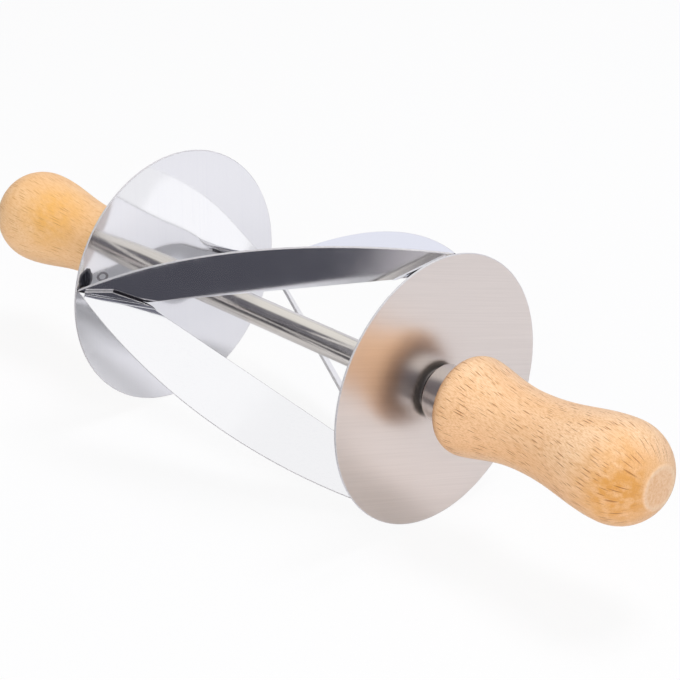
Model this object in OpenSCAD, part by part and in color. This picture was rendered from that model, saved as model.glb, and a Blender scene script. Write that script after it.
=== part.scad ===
// Croissant cutter roller
// Two sheet discs and four slanted blades make a drum that rolls over dough and cuts it into
// triangles. The drum turns on two captive stub axles, which run in bushes inside the handles.
// X is the rolling axis, the origin is the middle of the drum, and +Z is up. Millimetres.

/* [Discs] */
// Diameter of the two end discs
disc_d = 95; // [80:0.5:120]
// Thickness of the disc sheet
disc_t = 0.8; // [0.5:0.1:1.5]
// Distance between the inner faces of the discs
disc_span = 131.4; // [110:0.1:160]

/* [Blades] */
// Thickness of the blade sheet
blade_t = 0.8; // [0.5:0.1:1]
// Turn of the front blade tips on the left disc, up from straight ahead
tip_turn = 10.5; // [0:0.5:90]
// Distance of the straight inner edges from the rolling axis
inner_edge_r = 23.5; // [18:0.1:25]
// How far the middle of a cutting edge lies inside the rim of the discs
edge_inset = 1.8; // [0.3:0.1:3]
// Distance left for weld metal between a blade tip and the disc and its rim
tip_gap = 0.3; // [0.3:0.05:0.6]
// Inside radius of the bend between a blade and its flap
bend_inside_r = 1.5; // [0.8:0.1:2]
// Width of a flap at its peak
flap_w = 3; // [2:0.1:4.5]
// Distance of a flap's peak from the blade tip
flap_peak = 13.5; // [9:0.1:15]
// Distance of a flap's near end from the blade tip
flap_start = 3; // [2.5:0.1:5]
// Gap between a flap and the blade that it is welded to
flap_gap = 0.05; // [0.02:0.01:0.1]
// How far a flap is pressed in on each face and side
flap_press = 0.02; // [0.01:0.01:0.04]
// Radius of the weld bead under each pair of tips
bead_r = 1.5; // [1.2:0.1:2]
// Distance of a bead's middle from the disc
bead_out = 1.1; // [0.8:0.1:1.5]
// Distance of a bead's middle from the blade tips, towards the axis
bead_in = 2.1; // [1.6:0.1:3]

/* [Axle tube] */
// Outside diameter of the tube between the discs
tube_d = 10; // [9:0.1:13]
// Wall of the tube
tube_wall = 1.25; // [0.8:0.05:1.4]
// Length of the threaded insert in each end of the tube
insert_len = 18; // [16:0.5:30]

/* [Hub rings] */
// Diameter of the ring on the outside of each disc
ring_d = 16; // [14:0.1:17]
// Thickness of the ring
ring_t = 0.8; // [0.6:0.1:2]
// Chamfer on the outer edge of the ring
ring_chamfer = 0.2; // [0.1:0.05:0.3]

/* [Stub axles] */
// Diameter of the threaded end
thread_d = 5; // [4:0.1:5.4]
// Length of the thread that goes into the tube insert
thread_len = 14; // [10:0.5:16]
// Diameter of the shank that the handle turns on
shank_d = 8; // [7:0.1:9]
// Length of the shank from its shoulder to its head
shank_len = 58; // [52:0.1:62]
// Thickness of the head
head_t = 3; // [2:0.1:4]

/* [Bushes and washers] */
// Diameter of the bush deep inside the handle
outer_bush_d = 14; // [13:0.1:16]
// Length of the bush deep inside the handle
outer_bush_len = 12; // [8:0.5:16]
// Diameter of the thrust washer between hub ring and ferrule
thrust_washer_d = 17.4; // [15:0.1:17.6]
// Thickness of the thrust washer, which sets the gap in front of the ferrule
thrust_washer_t = 1; // [0.8:0.1:2]
// Thickness of the washer under the head
head_washer_t = 1; // [0.5:0.1:1.5]

/* [Ferrules] */
// Outside diameter of the ferrule
ferrule_d = 20; // [20:0.1:21]
// Wall of the ferrule
ferrule_wall = 1; // [0.6:0.1:1.4]
// Length of ferrule that shows in front of the handle
ferrule_show = 8.7; // [6:0.1:11]
// Length of ferrule seated in the handle
ferrule_seat = 10; // [6:0.1:14]
// Chamfer on the front edge of the ferrule
ferrule_chamfer = 0.4; // [0.2:0.1:0.5]

/* [Handles] */
// Length of the turned handle
handle_len = 83.7; // [78:0.1:95]
// Diameter of the flat front face
front_d = 24; // [22:0.1:28]
// Diameter of the shoulder
shoulder_d = 34.2; // [30:0.1:38]
// Distance of the shoulder from the front face
shoulder_at = 6.2; // [4:0.1:9]
// Diameter of the waist
waist_d = 26.6; // [24:0.1:30]
// Distance of the waist from the front face
waist_at = 31; // [26:0.1:36]
// Diameter of the bulb
bulb_d = 34.8; // [30:0.1:38]
// Distance of the bulb from the front face
bulb_at = 67.8; // [60:0.1:70]
// Diameter of the flat end
end_flat_d = 14; // [10:0.1:20]

/* [Clearances] */
// Gap all round a shaft that turns in a bush
run_gap = 0.05; // [0.02:0.01:0.09]
// Gap all round a piece that is pushed, glued or screwed in
fit_gap = 0.05; // [0.02:0.01:0.08]
// Gap all round the thread in the disc and the hub ring
hole_gap = 0.2; // [0.1:0.05:0.3]
// End play of the handle on its axle
end_play = 0.3; // [0.2:0.05:0.6]
// Gap all round the head inside the handle
head_gap = 1; // [0.6:0.1:1.4]
// Depth of bore left beyond the head
bore_end_gap = 2.5; // [1:0.1:5]

/* [Hidden] */
$fn = 96;
edge_fn = 720;
steps = 14;

// How far a cut runs past the face that it opens
cut = 1;
// How far a trimming outline runs past the blade, in blade lengths
reach = 1.6;
// How early the handle falls to its waist, and how late it rises to its bulb
fall_bias = 0.75;
rise_bias = 1.15;

mirror_steel = "#cfd2d8";
satin_steel = "#bdb9b6";
plain_steel = "#9fa2a6";
beech_wood = "#e9b67c";
white_nylon = "#e9e6dd";
black_nylon = "#2a2a2c";

disc_r = disc_d / 2;
inner_x = disc_span / 2;
outer_x = inner_x + disc_t;

// The sheet is laid out to a thousandth of a millimetre, so that its bends meet its flats exactly
function laid_out(v) = round(1000 * v) / 1000;

// Blade tips, and the blade plane through the middle of the drum
tip_r = disc_r - tip_gap;
tip_x = inner_x - tip_gap;
chord_h = tip_r / sqrt(2);
half_chord = sqrt(tip_x * tip_x + chord_h * chord_h);
skew = atan2(chord_h, tip_x);
edge_rise = disc_r - edge_inset - chord_h;
edge_r = (half_chord * half_chord + edge_rise * edge_rise) / (2 * edge_rise);

// Fold lines run from each tip towards the middle of the drum, where two blades meet
fold_len = sqrt(tip_x * tip_x + tip_r * tip_r);
fold_turn = atan2(chord_h, half_chord);
wedge = 2 * asin(fold_len / sqrt(tip_r * tip_r + 2 * tip_x * tip_x));
bend_r = bend_inside_r + blade_t / 2;
bend_turn = 180 - wedge;
bend_setback = laid_out((bend_r * (1 + cos(wedge)) + blade_t + flap_gap) / sin(wedge));
tip_setback = laid_out((blade_t / 2 * (1 + abs(cos(wedge))) + flap_gap) / sin(wedge));
flap_near = laid_out(fold_len - flap_start);
flap_root = 2 * flap_press;

// The inner end of a flap slants from its peak across the bend to the inner edge of the blade
fold_corner = laid_out((inner_edge_r - bend_setback * cos(fold_turn)) / sin(fold_turn));
flap_peak_x = laid_out(fold_len - flap_peak);
flap_peak_z = bend_r * cos(bend_turn) - flap_w * sin(bend_turn);
slant = (bend_r - flap_peak_z) / (flap_peak_x - fold_corner);
flap_inner = laid_out(fold_corner + (bend_r - bend_inside_r * cos(bend_turn)) / slant);

bead_x = inner_x - bead_out;
bead_at = tip_r - bead_in;

// Turn of each blade's middle round the axis; the tips on one disc are half a turn apart,
// and those on the other disc lie a quarter turn between them
quarter = 90;
front_upper_turn = tip_turn + quarter / 2;
front_lower_turn = tip_turn - quarter / 2;
rear_upper_turn = tip_turn + 3 * quarter / 2;
rear_lower_turn = tip_turn - 3 * quarter / 2;

// Stations along the axis on the right side, from the disc outwards
ring_x = outer_x + ring_t;
ferrule_x = ring_x + thrust_washer_t;
handle_x = ferrule_x + ferrule_show;
seat_x = handle_x + ferrule_seat;
head_x = ring_x + shank_len;
head_washer_x = head_x - head_washer_t;
outer_bush_end = head_washer_x - end_play;
bore_end = head_x + head_t + bore_end_gap;

// Diameters that follow from the fits
tube_bore_d = tube_d - 2 * tube_wall;
insert_d = tube_bore_d - 2 * fit_gap;
insert_bore_d = thread_d + 2 * fit_gap;
hub_hole_d = thread_d + 2 * hole_gap;
bush_bore_d = shank_d + 2 * run_gap;
washer_hole_d = shank_d + 2 * hole_gap;
inner_bush_d = ferrule_d - 2 * ferrule_wall - 2 * fit_gap;
seat_d = ferrule_d + 2 * fit_gap;
bore_d = outer_bush_d + 2 * fit_gap;
head_d = bore_d - 2 * head_gap;

// Shapes that repeat

module on_left() {
    mirror([1, 0, 0])
        children();
}

module rod(x0, x1, d) {
    translate([x0, 0, 0])
        rotate([0, 90, 0])
            cylinder(h = x1 - x0, d = d);
}

// A ring along the axis, with its bore cut through both faces
module sleeve(x0, x1, d, bore) {
    difference() {
        rod(x0, x1, d);
        rod(x0 - cut, x1 + cut, bore);
    }
}

// A sleeve whose edge at one end is chamfered: the end towards the drum, or the far one
module chamfered_sleeve(x0, x1, d, bore, chamfer, at_far_end) {
    near = at_far_end ? 0 : chamfer;
    far = at_far_end ? chamfer : 0;
    translate([x0, 0, 0])
        rotate([0, 90, 0])
            rotate_extrude()
                polygon([
                    [bore / 2, 0],
                    [d / 2 - near, 0],
                    [d / 2, near],
                    [d / 2, x1 - x0 - far],
                    [d / 2 - far, x1 - x0],
                    [bore / 2, x1 - x0]
                ]);
}

// Place of a blade: its middle turned round the axis, its plane skewed one way or the other
module blade_place(turn, lean) {
    rotate([180 - turn, 0, 0])
        rotate([0, lean * skew, 0])
            if (lean > 0)
                children();
            else
                mirror([1, 0, 0])
                    children();
}

// The flat of a blade: a round cutting edge, a straight inner edge, and two ends on fold lines
module blade_outline() {
    inner_half = inner_edge_r / tan(fold_turn);
    difference() {
        intersection() {
            translate([0, chord_h + edge_rise - edge_r])
                circle(r = edge_r, $fn = edge_fn);
            polygon([
                [-inner_half, inner_edge_r],
                [inner_half, inner_edge_r],
                [reach * half_chord, reach * chord_h],
                [-reach * half_chord, reach * chord_h]
            ]);
        }
        rotate(fold_turn) {
            translate([0, -blade_t])
                square([flap_near, bend_setback + blade_t]);
            translate([0, -blade_t])
                square([reach * fold_len, tip_setback + blade_t]);
        }
    }
}

// What is cut off the inner end of a bend, below the slanted line to the flap's peak
module bend_slant() {
    x0 = fold_corner - cut;
    x1 = flap_peak_x;
    rotate([90, 0, 0])
        translate([0, 0, -2 * bend_r])
            linear_extrude(4 * bend_r)
                polygon([
                    [x0, bend_r + slant * cut],
                    [x1, flap_peak_z],
                    [x1, flap_peak_z - bend_r],
                    [x0, flap_peak_z - bend_r]
                ]);
}

// One blade with the flap that is bent over at its right end and welded to the next blade
module blade_sheet() {
    translate([0, 0, -blade_t / 2])
        linear_extrude(blade_t)
            blade_outline();
    rotate([0, 0, fold_turn])
        translate([0, bend_setback, -bend_r]) {
            difference() {
                translate([fold_corner, 0, 0])
                    rotate([180, -90, 0])
                        rotate_extrude(angle = bend_turn)
                            translate([bend_inside_r, 0])
                                square([blade_t, flap_near - fold_corner]);
                bend_slant();
            }
            rotate([bend_turn, 0, 0])
                translate([0, 0, bend_inside_r + flap_press])
                    linear_extrude(blade_t - 2 * flap_press)
                        polygon([
                            [flap_inner + flap_press, flap_root],
                            [flap_inner + flap_press, 0],
                            [flap_peak_x, -flap_w],
                            [flap_near - flap_press, 0],
                            [flap_near - flap_press, flap_root]
                        ]);
        }
}

module blade(turn, lean) {
    blade_place(turn, lean)
        blade_sheet();
}

module all_blades() {
    blade(front_upper_turn, 1);
    blade(front_lower_turn, -1);
    blade(rear_upper_turn, -1);
    blade(rear_lower_turn, 1);
}

// Weld beads in the corners between a disc and the two ridges that reach its rim
module rim_welds(side, turn) {
    difference() {
        for (half = [0, 180])
            rotate([180 - turn - half, 0, 0])
                translate([side * bead_x, bead_at, 0])
                    sphere(r = bead_r);
        disc_plate(side);
        all_blades();
    }
}

module disc_plate(side) {
    x0 = side > 0 ? inner_x : -outer_x;
    sleeve(x0, x0 + disc_t, disc_d, hub_hole_d);
}

function swell(u, bias) = (1 - cos(180 * pow(u, bias))) / 2;

// Half outline of the handle as [radius, distance from the front face]
function handle_outline() =
    let (front_r = front_d / 2)
    let (shoulder_r = shoulder_d / 2)
    let (waist_r = waist_d / 2)
    let (bulb_r = bulb_d / 2)
    let (end_turn = acos(end_flat_d / bulb_d))
    let (end_axis = (handle_len - bulb_at) / sin(end_turn))
    concat(
        [[0, 0]],
        [for (i = [0 : steps])
            let (u = 90 * i / steps)
            [front_r + (shoulder_r - front_r) * sin(u), shoulder_at * (1 - cos(u))]],
        [for (i = [1 : steps])
            let (u = i / steps)
            [shoulder_r + (waist_r - shoulder_r) * swell(u, fall_bias),
             shoulder_at + (waist_at - shoulder_at) * u]],
        [for (i = [1 : steps])
            let (u = i / steps)
            [waist_r + (bulb_r - waist_r) * swell(u, rise_bias),
             waist_at + (bulb_at - waist_at) * u]],
        [for (i = [1 : steps])
            let (u = end_turn * i / steps)
            [bulb_r * cos(u), bulb_at + end_axis * sin(u)]],
        [[0, handle_len]]
    );

module handle() {
    difference() {
        translate([handle_x, 0, 0])
            rotate([0, 90, 0])
                rotate_extrude()
                    polygon(handle_outline());
        rod(handle_x - cut, seat_x, seat_d);
        rod(seat_x - cut, bore_end, bore_d);
    }
}

module stub_axle() {
    rod(inner_x - thread_len, ring_x, thread_d);
    rod(ring_x, head_x, shank_d);
    rod(head_x, head_x + head_t, head_d);
}

module tube_insert() {
    sleeve(inner_x - insert_len, inner_x, insert_d, insert_bore_d);
}

module hub_ring() {
    chamfered_sleeve(outer_x, ring_x, ring_d, hub_hole_d, ring_chamfer, true);
}

module thrust_washer() {
    sleeve(ring_x, ferrule_x, thrust_washer_d, washer_hole_d);
}

module head_washer() {
    sleeve(head_washer_x, head_x, head_d, washer_hole_d);
}

module ferrule() {
    ferrule_bore_d = ferrule_d - 2 * ferrule_wall;
    chamfered_sleeve(ferrule_x, seat_x, ferrule_d, ferrule_bore_d, ferrule_chamfer, false);
}

module inner_bush() {
    sleeve(ferrule_x + end_play, seat_x, inner_bush_d, bush_bore_d);
}

module outer_bush() {
    sleeve(outer_bush_end - outer_bush_len, outer_bush_end, outer_bush_d, bush_bore_d);
}

// Drum

module left_disc() {
    color(mirror_steel)
        disc_plate(-1);
}

module right_disc() {
    color(satin_steel)
        disc_plate(1);
}

module front_upper_blade() {
    color(mirror_steel)
        blade(front_upper_turn, 1);
}

module front_lower_blade() {
    color(mirror_steel)
        blade(front_lower_turn, -1);
}

module rear_upper_blade() {
    color(mirror_steel)
        blade(rear_upper_turn, -1);
}

module rear_lower_blade() {
    color(mirror_steel)
        blade(rear_lower_turn, 1);
}

module left_rim_welds() {
    color(plain_steel)
        rim_welds(-1, tip_turn);
}

module right_rim_welds() {
    color(plain_steel)
        rim_welds(1, tip_turn + quarter);
}

module axle_tube() {
    color(mirror_steel)
        sleeve(-inner_x, inner_x, tube_d, tube_bore_d);
}

module left_tube_insert() {
    color(plain_steel)
        on_left()
            tube_insert();
}

module right_tube_insert() {
    color(plain_steel)
        tube_insert();
}

module left_hub_ring() {
    color(plain_steel)
        on_left()
            hub_ring();
}

module right_hub_ring() {
    color(plain_steel)
        hub_ring();
}

module left_stub_axle() {
    color(plain_steel)
        on_left()
            stub_axle();
}

module right_stub_axle() {
    color(plain_steel)
        stub_axle();
}

module left_thrust_washer() {
    color(black_nylon)
        on_left()
            thrust_washer();
}

module right_thrust_washer() {
    color(black_nylon)
        thrust_washer();
}

module left_head_washer() {
    color(plain_steel)
        on_left()
            head_washer();
}

module right_head_washer() {
    color(plain_steel)
        head_washer();
}

// Handles

module left_ferrule() {
    color(mirror_steel)
        on_left()
            ferrule();
}

module right_ferrule() {
    color(mirror_steel)
        ferrule();
}

module left_inner_bush() {
    color(white_nylon)
        on_left()
            inner_bush();
}

module right_inner_bush() {
    color(white_nylon)
        inner_bush();
}

module left_outer_bush() {
    color(white_nylon)
        on_left()
            outer_bush();
}

module right_outer_bush() {
    color(white_nylon)
        outer_bush();
}

module left_handle() {
    color(beech_wood)
        on_left()
            handle();
}

module right_handle() {
    color(beech_wood)
        handle();
}

left_disc();
right_disc();
front_upper_blade();
front_lower_blade();
rear_upper_blade();
rear_lower_blade();
left_rim_welds();
right_rim_welds();
axle_tube();
left_tube_insert();
right_tube_insert();
left_hub_ring();
right_hub_ring();
left_stub_axle();
right_stub_axle();
left_thrust_washer();
right_thrust_washer();
left_head_washer();
right_head_washer();
left_ferrule();
right_ferrule();
left_inner_bush();
right_inner_bush();
left_outer_bush();
right_outer_bush();
left_handle();
right_handle();
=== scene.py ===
import math

import bmesh
import bpy
from mathutils import Matrix, Vector


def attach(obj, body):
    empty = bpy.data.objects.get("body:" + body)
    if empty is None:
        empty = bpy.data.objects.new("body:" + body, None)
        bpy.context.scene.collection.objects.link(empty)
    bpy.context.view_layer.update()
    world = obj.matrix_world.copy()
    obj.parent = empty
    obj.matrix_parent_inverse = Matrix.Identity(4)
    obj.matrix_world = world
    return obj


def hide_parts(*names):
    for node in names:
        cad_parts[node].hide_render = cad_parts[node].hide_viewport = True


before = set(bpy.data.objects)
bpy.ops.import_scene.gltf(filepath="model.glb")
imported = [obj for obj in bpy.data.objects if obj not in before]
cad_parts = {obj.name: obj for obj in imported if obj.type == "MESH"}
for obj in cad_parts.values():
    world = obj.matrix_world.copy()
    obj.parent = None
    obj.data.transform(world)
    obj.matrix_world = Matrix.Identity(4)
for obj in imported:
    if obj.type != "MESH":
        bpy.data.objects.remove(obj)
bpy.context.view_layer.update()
mm = 0.001


# Small helpers

def tint(hexCode):  # sRGB hex to linear RGBA
    out = []
    for i in (1, 3, 5):
        c = int(hexCode[i:i + 2], 16) / 255
        out.append(c / 12.92 if c <= 0.04045 else ((c + 0.055) / 1.055) ** 2.4)
    return (*out, 1.0)


rgba = {"data_type": "RGBA"}  # makes a Mix node blend colours
nodeFamilies = ("ShaderNode", "GeometryNode", "FunctionNode", "Node")  # starts of type names


def addNode(tree, kind, settings=None, links=None):
    node = tree.nodes.new(next(f + kind for f in nodeFamilies if hasattr(bpy.types, f + kind)))
    for key, value in (settings or {}).items():
        if isinstance(key, str) and key in node.bl_rna.properties:
            setattr(node, key, value)
        else:
            node.inputs[key].default_value = value
    linkAll(tree, node, links or {})
    return node


def linkAll(tree, node, sources):
    for key, source in sources.items():
        if isinstance(source, bpy.types.Node):  # a node stands for its main output
            source = source.outputs[2 if source.bl_idname == "ShaderNodeMix" else 0]
        tree.links.new(source, node.inputs[key])


def repeats(*sizes):  # scales of a pattern that repeats after these lengths in mm
    return [1 / (s * mm) for s in sizes]


def emptyTree(owner):  # the cleared node tree of a material or of the world
    owner.use_nodes = True
    owner.node_tree.nodes.clear()
    return owner.node_tree


def newMaterial(name, settings):
    mat = bpy.data.materials.new(name)
    tree = emptyTree(mat)
    shader = addNode(tree, "BsdfPrincipled", settings)
    addNode(tree, "OutputMaterial", None, {"Surface": shader})
    place = addNode(tree, "TexCoord").outputs["Object"]
    return mat, tree, shader, place


def addObject(name, data):
    obj = bpy.data.objects.new(name, data)
    bpy.context.scene.collection.objects.link(obj)
    return obj


def keepMesh(obj, name):  # turns live modifiers into a plain mesh
    graph = bpy.context.evaluated_depsgraph_get()
    source = obj.evaluated_get(graph)
    mesh = bpy.data.meshes.new_from_object(source, preserve_all_data_layers=True, depsgraph=graph)
    mesh.name = name
    if mesh.materials and not mesh.materials[0]:  # the node tree leaves an empty first slot
        mesh.materials.pop(index=0)
    piece = addObject(name, mesh)
    old = obj.data
    bpy.data.objects.remove(obj)
    bpy.data.meshes.remove(old)
    return piece


def faceOut(mesh):  # turns all faces outwards
    bm = bmesh.new()
    bm.from_mesh(mesh)
    bmesh.ops.recalc_face_normals(bm, faces=bm.faces)
    if bm.calc_volume(signed=True) < 0:
        bmesh.ops.reverse_faces(bm, faces=bm.faces)
    bm.to_mesh(mesh)
    bm.free()


def newTree(name, inputs, output):
    tree = bpy.data.node_groups.new(name, "GeometryNodeTree")
    for label, kind in inputs.items():
        tree.interface.new_socket(name=label, in_out="INPUT", socket_type="NodeSocket" + kind)
    tree.interface.new_socket(name=output, in_out="OUTPUT", socket_type="NodeSocketGeometry")
    return tree, addNode(tree, "GroupInput").outputs


def runTree(tree, mesh, values, name):  # a piece made by a node tree from a start mesh
    obj = addObject(mesh.name, mesh)
    mod = obj.modifiers.new(tree.name, "NODES")
    mod.node_group = tree
    sockets = {s.name: s.identifier for s in tree.interface.items_tree if s.in_out == "INPUT"}
    for key, value in values.items():
        mod[sockets[key]] = value
    piece = keepMesh(obj, name)
    faceOut(piece.data)
    return piece


def settle(piece, body, node):
    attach(piece, body)
    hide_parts(node)


# Camera, fitted to the rims of the two discs

cameraFit = {
    "azimuth": 45.69, "elevation": 25.29, "distance": 0.85999,
    "right": 0.013913, "up": -0.003577, "lens": 130.16,
}


def makeCamera(fit):
    a, e = math.radians(fit["azimuth"]), math.radians(fit["elevation"])
    back = Vector((math.sin(a) * math.cos(e), -math.cos(a) * math.cos(e), math.sin(e)))
    right = Vector((math.cos(a), math.sin(a), 0))
    up = back.cross(right)
    data = bpy.data.cameras.new("photoCamera")
    data.sensor_width = 36
    data.lens = fit["lens"]
    data.clip_start, data.clip_end = 0.01, 50
    cam = addObject("photoCamera", data)
    cam.location = back * fit["distance"] + right * fit["right"] + up * fit["up"]
    cam.rotation_euler = Matrix((right, up, back)).transposed().to_euler()
    bpy.context.scene.camera = cam


makeCamera(cameraFit)
print("camera placed")


# Materials

# Steamed beech, turned and given a thin satin lacquer: warm pale orange with soft growth
# bands, a fine pored texture, and the short dark dashes of the wood rays along the grain
rightBeechLook = {
    "pale": "#F4D1AA", "warm": "#EEC398", "deep": "#E0AC72",
    "ray": "#985A28", "pore": "#C98C4E", "spot": "#D89B4C",
    "endPale": "#F6D2AE", "endDeep": "#E2AE80", "endRimHighlight": "#F8E2C6", "mouthShadeTone": "#B0743E",
    "shift": (0.0, 11.0, 4.0), "grainTurn": (25, -10, 3),
    "cloudSize": (52.0, 26.0, 26.0), "bandSize": (280.0, 7.0, 28.0), "mottleSize": (5.0, 2.4, 2.4),
    "poreSize": (2.4, 0.32, 0.32), "endSize": (9.0, 1.1, 1.1), "latheSize": (0.8, 60.0, 60.0),
    "spotAt": (154.0, -12.0, 0.5), "spotRadius": 19.0, "spotCore": 0.3,
    "meanRadius": 15.5, "seam": -146, "slant": 9.0, "rayLength": 11.0, "rayWidth": 0.9, "rayFade": 2.5,
    # the mouth keys set painted shade on the front shoulder of each handle
    "mouth": 77.0, "mouthShadeFade": (4.5, 0.5), "mouthShadeShare": 0.5,
    "end": 160.7, "endRadius": 6.9, "flatFade": (0.5, 0.1), "flatShare": 0.62,
    "rimWidth": (1.3, 0.1), "rimFade": (1.2, 0.6), "rimHighlightShare": 0.42,
}
leftBeechLook = dict(
    rightBeechLook, pale="#F8CF9E", warm="#F4C288", deep="#E9AE68", ray="#CB9250", pore="#DEA35E",
    spot="#EFB766", shift=(43.0, -17.0, 9.0), slant=3.0, rayLength=16.0,
    spotAt=(-125.0, -11.0, 10.0), spotRadius=17.0,
)


def lacqueredBeech(name, look):
    mat, tree, shader, place = newMaterial(name, {
        "IOR": 1.5, "Coat Weight": 0.1, "Coat Roughness": 0.42, "Coat IOR": 1.5,
    })
    shift = [s * mm for s in look["shift"]]
    grainTurn = [math.radians(a) for a in look["grainTurn"]]
    grain = addNode(tree, "Mapping", {"Location": shift, "Rotation": grainTurn}, {"Vector": place})
    # wide clouds of paler and warmer wood, stretched along the grain
    cloudAt = addNode(tree, "Mapping", {"Scale": repeats(*look["cloudSize"])}, {"Vector": grain})
    cloud = addNode(tree, "TexNoise", {"Scale": 1.0, "Detail": 3.0, "Roughness": 0.5}, {"Vector": cloudAt})
    cloudMix = addNode(tree, "MapRange", {"From Min": 0.35, "From Max": 0.68}, {"Value": cloud})
    wood = addNode(tree, "Mix", {**rgba, 6: tint(look["pale"]), 7: tint(look["warm"])}, {0: cloudMix})
    # growth bands: long and thin along the grain, a little bent
    bandAt = addNode(tree, "Mapping", {"Scale": repeats(*look["bandSize"])}, {"Vector": grain})
    band = addNode(tree, "TexNoise", {
        "Scale": 1.0, "Detail": 4.0, "Roughness": 0.62, "Distortion": 0.4,
    }, {"Vector": bandAt})
    bandMix = addNode(tree, "MapRange", {"From Min": 0.46, "From Max": 0.8, "To Max": 0.55}, {"Value": band})
    wood = addNode(tree, "Mix", {**rgba, 7: tint(look["deep"])}, {0: bandMix, 6: wood})
    # one warm patch, mottled, as beech often has
    away = addNode(tree, "VectorMath", {"operation": "DISTANCE", 1: [s * mm for s in look["spotAt"]]},
                   {0: place})
    reach = look["spotRadius"] * mm
    patch = addNode(tree, "MapRange", {"From Min": reach, "From Max": reach * look["spotCore"]},
                    {"Value": away.outputs["Value"]})
    mottleAt = addNode(tree, "Mapping", {"Scale": repeats(*look["mottleSize"])}, {"Vector": grain})
    mottle = addNode(tree, "TexNoise", {"Scale": 1.0, "Detail": 3.0}, {"Vector": mottleAt})
    mottleMix = addNode(tree, "MapRange", {"From Min": 0.3, "From Max": 0.6, "To Min": 0.35, "To Max": 1.0},
                        {"Value": mottle})
    warmth = addNode(tree, "Math", {"operation": "MULTIPLY"}, {0: patch, 1: mottleMix})
    wood = addNode(tree, "Mix", {**rgba, 7: tint(look["spot"])}, {0: warmth, 6: wood})
    # fine pores, drawn wider than the real 0.1 mm so that they show
    poreAt = addNode(tree, "Mapping", {"Scale": repeats(*look["poreSize"])}, {"Vector": grain})
    pore = addNode(tree, "TexNoise", {"Scale": 1.0, "Detail": 2.0, "Roughness": 0.6}, {"Vector": poreAt})
    poreMix = addNode(tree, "MapRange", {"From Min": 0.42, "From Max": 0.72, "To Max": 0.62}, {"Value": pore})
    wood = addNode(tree, "Mix", {**rgba, 7: tint(look["pore"])}, {0: poreMix, 6: wood})
    # rays: one thin spindle in each cell of a sheet wrapped round the axis, its seam on the far side
    rolled = addNode(tree, "Mapping", {"Rotation": (math.radians(look["seam"]), 0, 0)}, {"Vector": place})
    axisAt = addNode(tree, "SeparateXYZ", None, {"Vector": rolled})
    turn = addNode(tree, "Math", {"operation": "ARCTAN2"}, {0: axisAt.outputs["Z"], 1: axisAt.outputs["Y"]})
    around = addNode(tree, "Math", {"operation": "MULTIPLY", 1: look["meanRadius"] * mm}, {0: turn})
    wrapped = addNode(tree, "CombineXYZ", None, {"X": axisAt.outputs["X"], "Y": around})
    rayAt = addNode(tree, "Mapping", {
        "vector_type": "TEXTURE", "Location": shift, "Rotation": (0, 0, math.radians(look["slant"])),
        "Scale": (look["rayLength"] * mm, look["rayWidth"] * mm, 1),
    }, {"Vector": wrapped})
    ray = addNode(tree, "TexVoronoi", {"voronoi_dimensions": "2D", "Scale": 1.0, "Randomness": 1.0},
                  {"Vector": rayAt})
    chance = addNode(tree, "SeparateColor", None, {"Color": ray.outputs["Color"]})
    raySize = addNode(tree, "MapRange", {"To Min": 0.08, "To Max": 0.22}, {"Value": chance.outputs["Red"]})
    rayNear = addNode(tree, "Math", {"operation": "DIVIDE"}, {0: ray.outputs["Distance"], 1: raySize})
    rayShape = addNode(tree, "MapRange", {"From Min": 1.1, "From Max": 0.5}, {"Value": rayNear})
    rayTone = addNode(tree, "MapRange", {"To Min": 0.45, "To Max": 1.0}, {"Value": chance.outputs["Green"]})
    rayShare = addNode(tree, "Math", {"operation": "MULTIPLY"}, {0: rayShape, 1: rayTone})
    # the dashes fade towards the flat end, where the grain is cut across
    outward = addNode(tree, "Math", {"operation": "ABSOLUTE"}, {0: axisAt.outputs["X"]})
    end = look["end"]
    endFade = addNode(tree, "MapRange", {
        "From Min": (end - look["rayFade"]) * mm, "From Max": end * mm, "To Min": 1.0, "To Max": 0.0,
    }, {"Value": outward})
    rayMix = addNode(tree, "Math", {"operation": "MULTIPLY"}, {0: rayShare, 1: endFade})
    wood = addNode(tree, "Mix", {**rgba, 7: tint(look["ray"])}, {0: rayMix, 6: wood})
    # the mouth towards the drum is browner: painted shade on the shoulder that faces the disc
    clear, full = ((look["mouth"] + f) * mm for f in look["mouthShadeFade"])
    mouthShade = addNode(tree, "MapRange", {
        "From Min": clear, "From Max": full, "To Max": look["mouthShadeShare"],
    }, {"Value": outward})
    wood = addNode(tree, "Mix", {**rgba, 7: tint(look["mouthShadeTone"])}, {0: mouthShade, 6: wood})
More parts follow.
